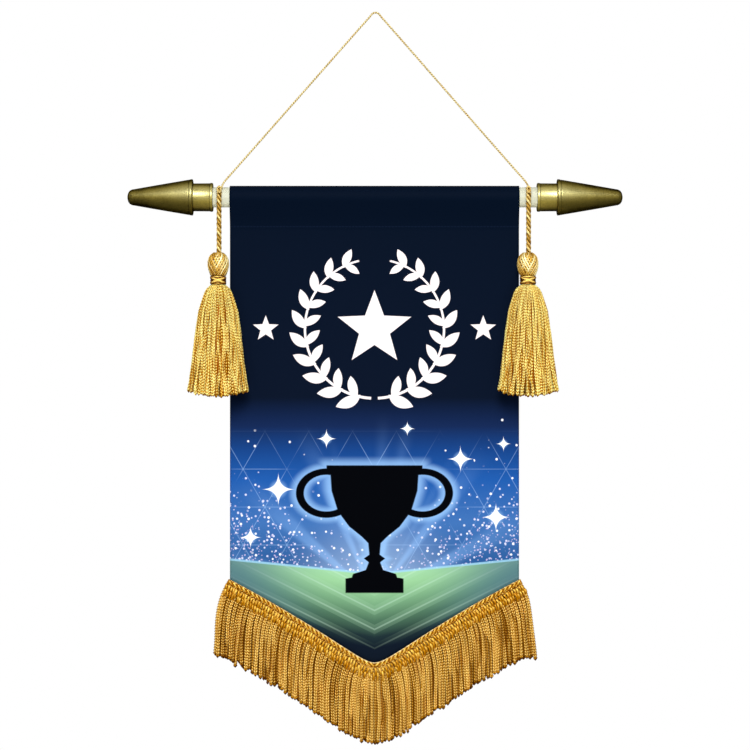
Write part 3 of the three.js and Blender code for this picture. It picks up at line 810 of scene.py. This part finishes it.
# Fat stitches in two rows, which start square to the edge, hook down and hold the strands
stitch_rows = [
    {"top": 8.2, "foot": 14.0, "shift": 0.25, "proud": 3.7, "hook": 0.9},
    {"top": 4.8, "foot": 10.0, "shift": -0.25, "proud": 4.4, "hook": 0.35},
]
fat_stitches = 116
for row in stitch_rows:
    for i in range(fat_stitches):
        across = 2 * (i + 0.5 + row["shift"]) / fat_stitches - 1
        edge, along, down = heading_frame(heading_end * across)
        share = np.linspace(0, 1, 11)
        top = row["top"] + chance.normal(0, 0.4)
        depth = top + (row["foot"] + chance.normal(0, 0.8) - top) * share
        slant = chance.normal(0, 0.08) * (depth - top) + chance.normal(0, 0.12) + 0.3 * np.sin(3 * share)
        bulge = row["proud"] + 0.7 * np.sin(np.pi * share) - share**3
        hook = row["hook"] * (depth - top) * share / 2
        ways = ((slant, along), (depth, down), (bulge, front), (hook, plumb - down))
        guide = edge + mm * sum(np.outer(far, way) for far, way in ways)
        tint = chance.uniform(0, 0.9) - share**3
        reach = chance.uniform(0.92, 1.24)
        rope(yarns, guide, front, reach, 11.0, tints=tint, step=0.6, threads=1)
for name, wound, look in (("heading", yarns, heading_finish), ("edging", edging, edging_finish)):
    wound.made(f"fringe_{name}", look, "gold_yarn", ["fringe"])


# Tassel cords, rod loops and hanging cord
# Gold rayon cord. Each tassel hangs on a thick cord of three plies laid over the front of the rod, with a
# small eye of yarn in front. One ply goes on as the loop round the rod, and another as the thin cord that
# rises over the hook.

cord_finish = yarn_finish("cord yarn", (88, 60, 12), (182, 140, 52), (248, 224, 148), 0.88)
thin_cord_finish = yarn_finish("thin cord yarn", (128, 102, 44), (206, 178, 108), (246, 232, 174), 0.85)
tassel_cord_x = {"left": -122.3 * mm, "right": 121.2 * mm}
ply_radius = 0.75 * mm
# (depth, height) in mm, down to the top of the tassel's skirt
tassel_cord_route = [
    (-7.4, -137.7), (-8.1, -138.5), (-8.8, -139.5), (-9.4, -140.6), (-9.9, -141.8), (-10.3, -143.3),
    (-10.45, -145.1), (-10.45, -149.0), (-10.45, -154.0), (-10.45, -160.0), (-10.45, -166.0),
    (-10.45, -172.0), (-10.45, -178.0), (-10.45, -184.0), (-10.45, -188.0), (-10.45, -198.0),
    (-10.45, -208.0), (-10.45, -216.0), (-10.45, -224.0),
]
# (x, y, z) in mm from the left end up to the middle of the bend. The right half mirrors it
hanging_cord_route = [
    (-121.3, -6.3, -138.3), (-121.2, -5.2, -137.3), (-120.9, -4.3, -136.1), (-120.4, -3.6, -134.9),
    (-119.7, -3.1, -133.6), (-118.8, -2.9, -132.4), (-117.8, -2.8, -131.2), (-106.0, -2.6, -117.8),
    (-88.0, -2.1, -97.3), (-70.0, -1.7, -76.8), (-52.0, -1.2, -56.3), (-34.0, -0.8, -35.8),
    (-16.0, -0.4, -15.3), (-6.3, -0.1, -4.3), (-4.5, 0.0, -2.3), (-3.2, 0.0, -0.6),
    (-1.7, 0.0, 0.6), (0.0, 0.0, 1.0),
]


def smooth(guide):
    """A curve through every point of a guide, with eight points for each gap."""
    p = np.asarray(guide, float)
    p = np.concatenate([[2 * p[0] - p[1]], p, [2 * p[-1] - p[-2]]])
    t = np.append(0, np.cumsum(np.sqrt(np.linalg.norm(np.diff(p, axis=0), axis=1))))
    made = []
    for i in range(len(p) - 3):
        place = np.linspace(t[i + 1], t[i + 2], 8, endpoint=False)[:, None]
        curve = p[i : i + 4]
        # Neighbours are blended over wider and wider stretches, and then over the gap itself
        for spans in (((0, 1), (1, 2), (2, 3)), ((0, 2), (1, 3)), ((1, 2),)):
            ends = [(t[i + a], t[i + b]) for a, b in spans]
            pairs = zip(ends, curve, curve[1:])
            curve = [((b - place) * v + (place - a) * w) / (b - a) for (a, b), v, w in pairs]
        made.append(curve[0])
    return np.concatenate([*made, p[-2:-1]])


half = np.array(hanging_cord_route) * mm
hanging_guide = smooth(np.concatenate([half, (half * [-1, 1, 1])[-2::-1]]))
# It hangs a little to the right of the middle
shift_at, shift_by = [-118 * mm, 0, 100 * mm], [0.7 * mm, 0.8 * mm, 0.1 * mm]
hanging_guide[:, 0] += np.interp(hanging_guide[:, 0], shift_at, shift_by)
yarns = Yarns()
rope(yarns, hanging_guide, front, 0.54, 3.9, 2, 0.36, tints=0.9)
hanging_cord = yarns.made("hanging_cord_laid", thin_cord_finish, "gold_cord", ["hanging_cord"])

loop_turns = np.radians(np.linspace(43, -228, 60))
loop_reach = rod_radius + 0.15 * mm + ply_radius
eye_height, eye_depth = -139.7 * mm, -12.3 * mm
eye_wide, eye_high = 1.3 * mm, 2.5 * mm
sideways = (1.0, 0.0, 0.0)
tassel_cords = {}
for name, side in (("left", -1), ("right", 1)):
    cord_x = tassel_cord_x[name]
    guide = smooth([(cord_x, y * mm, z * mm) for y, z in tassel_cord_route])
    yarns = Yarns()
    shades = (1.0, 0.5, 0.0)
    rope(yarns, guide, sideways, 1.1, 12.4, 3, 1.05, shades, 0.45, 10, 4)
    tassel_cord = yarns.made(f"tassel_cord_{name}_laid", cord_finish, "gold_cord", [f"tassel_cord_{name}"])
    tassel_cords[name] = (tassel_cord, guide)

    yarns = Yarns()
    loop_x = np.full(len(loop_turns), cord_x + side * 0.3 * mm)
    loop_y, loop_z = -loop_reach * np.sin(loop_turns), rod_height + loop_reach * np.cos(loop_turns)
    loop = np.stack([loop_x, loop_y, loop_z], axis=1)
    rope(yarns, loop, sideways, 0.4, 3.6, 2, 0.3, tints=0.3)
    turn = np.linspace(0, 2 * np.pi, 33)
    eye_x, eye_z = cord_x + eye_wide * np.cos(turn), eye_height + eye_high * np.sin(turn)
    eye = np.stack([eye_x, eye_depth + 0.5 * (eye_z - eye_height), eye_z], axis=1)
    rope(yarns, eye, front, 0.48, 3.4, 2, 0.3, tints=1.3, step=0.4)
    yarns.made(f"rod_loop_{name}_laid", cord_finish, "gold_cord", [f"rod_loop_{name}"])


# Tassels
# A ball head of wound yarn, a neck bound with darker yarn, and a skirt of chain-knitted strands that
# spread from the neck. The skirt is flatter towards the cloth and leans a little away from it.

tassel_finish = yarn_finish("tassel yarn", (150, 84, 2), (234, 176, 22), (255, 247, 156), 2.1)
head_finish = yarn_finish("tassel head yarn", (126, 80, 20), (222, 176, 64), (255, 248, 190), 2.1)
binding_finish = yarn_finish("binding yarn", (44, 16, 0), (132, 74, 4), (255, 216, 112), 1.2)
# The core's colours are painted shade
core_finish = yarn_finish("core yarn", (150, 82, 6), (184, 112, 20), (210, 146, 44))
head_top = -189.3 * mm
cord_depth = tassel_cord_route[-1][0]
# (drop below the head's top, radius) in mm
head_outline = np.array([
    (0.0, 1.6), (0.6, 3.1), (2.0, 5.0), (4.0, 6.5), (7.0, 7.4), (10.5, 7.5),
    (14.0, 6.7), (16.8, 5.6), (18.4, 5.0),
])
skirt_outline = np.array([
    (24.6, 5.2), (25.9, 7.2), (29.0, 10.5), (32.0, 12.1), (36.0, 13.4), (46.0, 16.5),
    (62.0, 18.6), (86.0, 21.2), (102.0, 23.3), (107.0, 24.4), (118.0, 24.9),
])
core_outline = [(24.6, 3.4), (29, 6.9), (36, 9.8), (60, 14.4), (86, 17.4), (102, 19.0), (106, 14.0)]
skirt_lean, skirt_flatness, skirt_head, skirt_neck, skirt_foot = 6.5, 0.42, 24.4, 25.9, 113.4
neck_round, neck_foot, side_rise = 6.6, 38, 4.4
head_yarns, head_middle, head_foot = 22, 9.3, 18.2


def skirt_points(middle, angle, drop, spread):
    """Points of an oval that flattens and leans as it comes down. Drop and spread are in mm."""
    depth = np.where(spread < neck_round, spread, neck_round + skirt_flatness * (spread - neck_round))
    lean = skirt_lean * np.maximum(0, (drop - skirt_neck) / (skirt_foot - skirt_neck))
    x = middle / mm + spread * np.cos(angle)
    y = cord_depth - lean + depth * np.sin(angle)
    z = head_top / mm - drop
    return np.stack(np.broadcast_arrays(x, y, z), axis=-1) * mm


# Inner rings are painted darker, as shade inside the skirt
skirt_rings = [
    {"strands": 46, "share": 1.0, "inset": 1.4, "reach": 1.34, "corners": 8, "painted_dimming": 0.0},
    {"strands": 44, "share": 0.85, "inset": 1.2, "reach": 1.6, "corners": 6, "painted_dimming": 0.8},
    {"strands": 18, "share": 0.45, "inset": 1.2, "reach": 1.4, "corners": 6, "painted_dimming": 1.0},
]


def skirt(yarns, middle, ring):
    """One ring of strands, which part a little from each other on their way down."""
    for i in range(ring["strands"]):
        angle = 2 * np.pi * (i + chance.normal(0, 0.16)) / ring["strands"]
        foot = skirt_foot - side_rise * ring["share"] * math.cos(angle) ** 2 + chance.normal(0, 0.55)
        head = skirt_head - chance.uniform(0, 1.6)
        neck = np.linspace(head, neck_foot, 14, endpoint=False)
        drop = np.concatenate([neck, np.linspace(neck_foot, foot, 26)])
        spread = (np.interp(drop, *skirt_outline.T) - ring["inset"]) * ring["share"]
        free = np.clip((drop - 26) / 20, 0, 1)
        ripple = chance.normal(0, 0.035) * np.sin(drop / 7 + chance.uniform(0, 6)) * free
        flare = chance.normal(0, 0.055) * np.clip((drop - 76) / 34, 0, 1)
        guide = skirt_points(middle, angle + ripple + flare, drop, spread)
        outward = compass(angle)
        packed = np.clip(spread / 21, 0.45, 1.0)
        slow = 0.2 * np.sin(drop / 9 + chance.uniform(0, 6))
        tint = chance.uniform(-0.2, 0.85) + slow + 0.75 * np.exp((24 - drop) / 14) - ring["painted_dimming"]
        reach = ring["reach"] * packed * mm
        turn = chance.normal(0, 0.45) + chance.normal(0, 0.9) * np.sin(drop / 9 + chance.uniform(0, 6))
        pitch = chance.uniform(2.05, 2.55) * mm
        chain(yarns, guide, outward, reach, turn, tint, pitch, ring["corners"], foot=0.12)


def ball_head(yarns, middle):
    """Yarns laid from pole to neck over the ball, slanting both ways, so that they cross in the middle."""
    for slant in (1, -1):
        for i in range(head_yarns):
            drop = np.linspace(0.4, head_foot, 34)
            angle = 2 * np.pi * (i + chance.normal(0, 0.12)) / head_yarns + slant * 1.35 * drop / head_foot
            lift = 0.4 * slant * np.sin(2 * angle) + 0.1
            radius = np.interp(drop, *head_outline.T) + lift
            guide = skirt_points(middle, angle, drop, radius)
            outward = unit(guide - [middle, cord_depth * mm, head_top - 9 * mm])
            # Painted shade: each yarn is darker towards the top and towards the neck
            tint = chance.uniform(-0.9, 1.8) - 1.4 * (drop / head_middle - 1) ** 2
            rope(yarns, guide, outward, 0.98, 2.4, tints=tint, step=0.55, corners=6)


def core(yarns, middle, rows, share):
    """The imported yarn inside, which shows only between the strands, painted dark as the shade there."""
    angles = np.linspace(0, 2 * np.pi, 24, endpoint=False)[None]
    rows = np.asarray(rows)
    yarns.gather(skirt_points(middle, angles, rows[:, :1], rows[:, 1:] * share), relief=0.0, tint=0.0)


binding_rows = [19.2, 20.5, 21.8, 23.1, 24.4]
binding_radius, crossing_radius, crossing_middle = 5.7, 6.3, 21.8
for name in ("left", "right"):
    middle = tassel_cord_x[name] - 0.6 * mm
    outer, filling, head, inside, binding = (Yarns() for _ in range(5))
    skirt(outer, middle, skirt_rings[0])
    for ring in skirt_rings[1:]:
        skirt(filling, middle, ring)
    ball_head(head, middle)
    core(inside, middle, [*head_outline, (24.6, 5.3)], 0.97)
    core(inside, middle, core_outline, 1.0)

    # Turns of dark yarn round the neck, each painted paler at its front as a highlight, and two that
    # cross in front of them
    circle = np.linspace(0, 2 * np.pi, 49)
    for row in binding_rows:
        around = circle + chance.uniform(0, 6)
        guide = skirt_points(middle, around, row + 0.12 * np.sin(circle), np.full(49, binding_radius))
        # Painted highlight at the front of each turn; the top turn is paler too
        shine = 1.3 * np.clip(-np.sin(around), 0, 1) ** 5 + 0.9 * (row == binding_rows[0])
        tint = chance.uniform(-1.3, -0.9) + shine
        rope(binding, guide, compass(around), 0.72, 2.2, tints=tint, step=0.6)
    around = np.linspace(-2.75, -0.35, 24)
    from_front = around + 1.55
    for lean in (1, -1):
        drop = crossing_middle + lean * 2.4 * np.sin(from_front)
        guide = skirt_points(middle, around, drop, np.full(24, crossing_radius))
        # Painted highlight in front, and painted shade towards the ends
        tint = 1.7 - 2.6 * np.abs(from_front / 1.2) ** 1.5
        rope(binding, guide, compass(around), 0.95, 2.4, tints=tint)

    tassel, bound = f"tassel_{name}", f"neck_binding_{name}"
    made = [
        yarns.made(f"{tassel}_{part}", look, "gold_yarn", [tassel])
        for part, yarns, look in (
            ("skirt", outer, tassel_finish), ("filling", filling, tassel_finish),
            ("head", head, head_finish), ("core", inside, core_finish),
        )
    ]
    made.append(binding.made(f"{bound}_wound", binding_finish, "dark_gold_yarn", [bound]))
    tassel_cord, guide = tassel_cords[name]


# Floor, light and camera
# The banner hangs high above a plain pale floor, under soft studio light, before a white ground. The
# camera looks straight at the print from 2 m with a long lens.

floor_radius, floor_height = 1.4, -1.5
floor_mesh = bpy.data.meshes.new("floor")
rim = np.linspace(0, 2 * np.pi, 96, endpoint=False)
rim_points = floor_radius * compass(rim) + [0, 0, floor_height]
floor_mesh.from_pydata(rim_points, [], [list(range(96))])
floor = bpy.data.objects.new("floor", floor_mesh)
bpy.context.scene.collection.objects.link(floor)
floor_finish, floor_shader, place = finish("pale floor", {"Roughness": 0.8})
feed(floor_shader, Base_Color=place.noise(6.0, 2.0).mix((236, 236, 234), (230, 230, 228)))
floor_mesh.materials.append(floor_finish)
floor.visible_glossy = False

# Light from all round, brighter from above and dimmer from behind. The camera itself sees white.
scene = bpy.context.scene
scene.view_settings.view_transform = "Standard"
world = bpy.data.worlds.new("studio")
world.use_nodes = True
scene.world = world
tree = world.node_tree
tree.nodes.clear()
path = Signal(tree.nodes.new("ShaderNodeLightPath").outputs["Is Camera Ray"])
sky = path.add("ShaderNodeTexCoord", output=0)
height = sky.axis("Z").rise(-1.0, 0.5)
soft = height.mix((0.045, 0.045, 0.04, 1.0), (0.46, 0.46, 0.47, 1.0))
behind = sky.axis("Y").rise(-0.1, 0.8)
soft = behind.mix(soft, (0.1, 0.1, 0.1, 1.0))
shown = path.mix(soft, (1.0, 1.0, 1.0, 1.0))
background = path.add("ShaderNodeBackground", None, {"Color": shown})
output = tree.nodes.new("ShaderNodeOutputWorld")
tree.links.new(background.socket, output.inputs["Surface"])

# Each lamp's name, place, size, power and spread in degrees
lamps = [
    ("key", (0.0, -1.45, 0.49), (0.62, 0.68), 2.8, 70),
    ("wash", (0.0, -1.45, 0.72), (0.9, 0.75), 1.65, 70),
    ("fill", (0.0, -1.4, -1.2), (1.2, 0.8), 2.9, 80),
    ("back_left", (-1.5, 0.9, 0.1), (1.0, 1.0), 5.5, 80),
    ("back_right", (1.5, 0.9, 0.1), (1.0, 1.0), 5.5, 80),
]
aim = np.array([0.0, 0.0, -0.3])
for name, at, size, power, spread in lamps:
    lamp = bpy.data.lights.new(name, "AREA")
    lamp.shape = "RECTANGLE"
    lamp.size, lamp.size_y = size
    lamp.energy = power
    lamp.spread = math.radians(spread)
    holder = bpy.data.objects.new(name, lamp)
    scene.collection.objects.link(holder)
    holder.location = at
    holder.visible_glossy = name == "key"
    towards = Vector(aim - at)
    holder.rotation_euler = towards.to_track_quat("-Z", "Y").to_euler()

lens, sensor = 120.0, 36.0
picture_width = 593.2 * mm
picture_middle = (0.4 * mm, -285.6 * mm)
camera_data = bpy.data.cameras.new("camera")
camera_data.lens, camera_data.sensor_width = lens, sensor
camera = bpy.data.objects.new("camera", camera_data)
scene.collection.objects.link(camera)
camera.location = (picture_middle[0], -picture_width * lens / sensor, picture_middle[1])
camera.rotation_euler = (math.radians(90), 0, 0)
scene.camera = camera
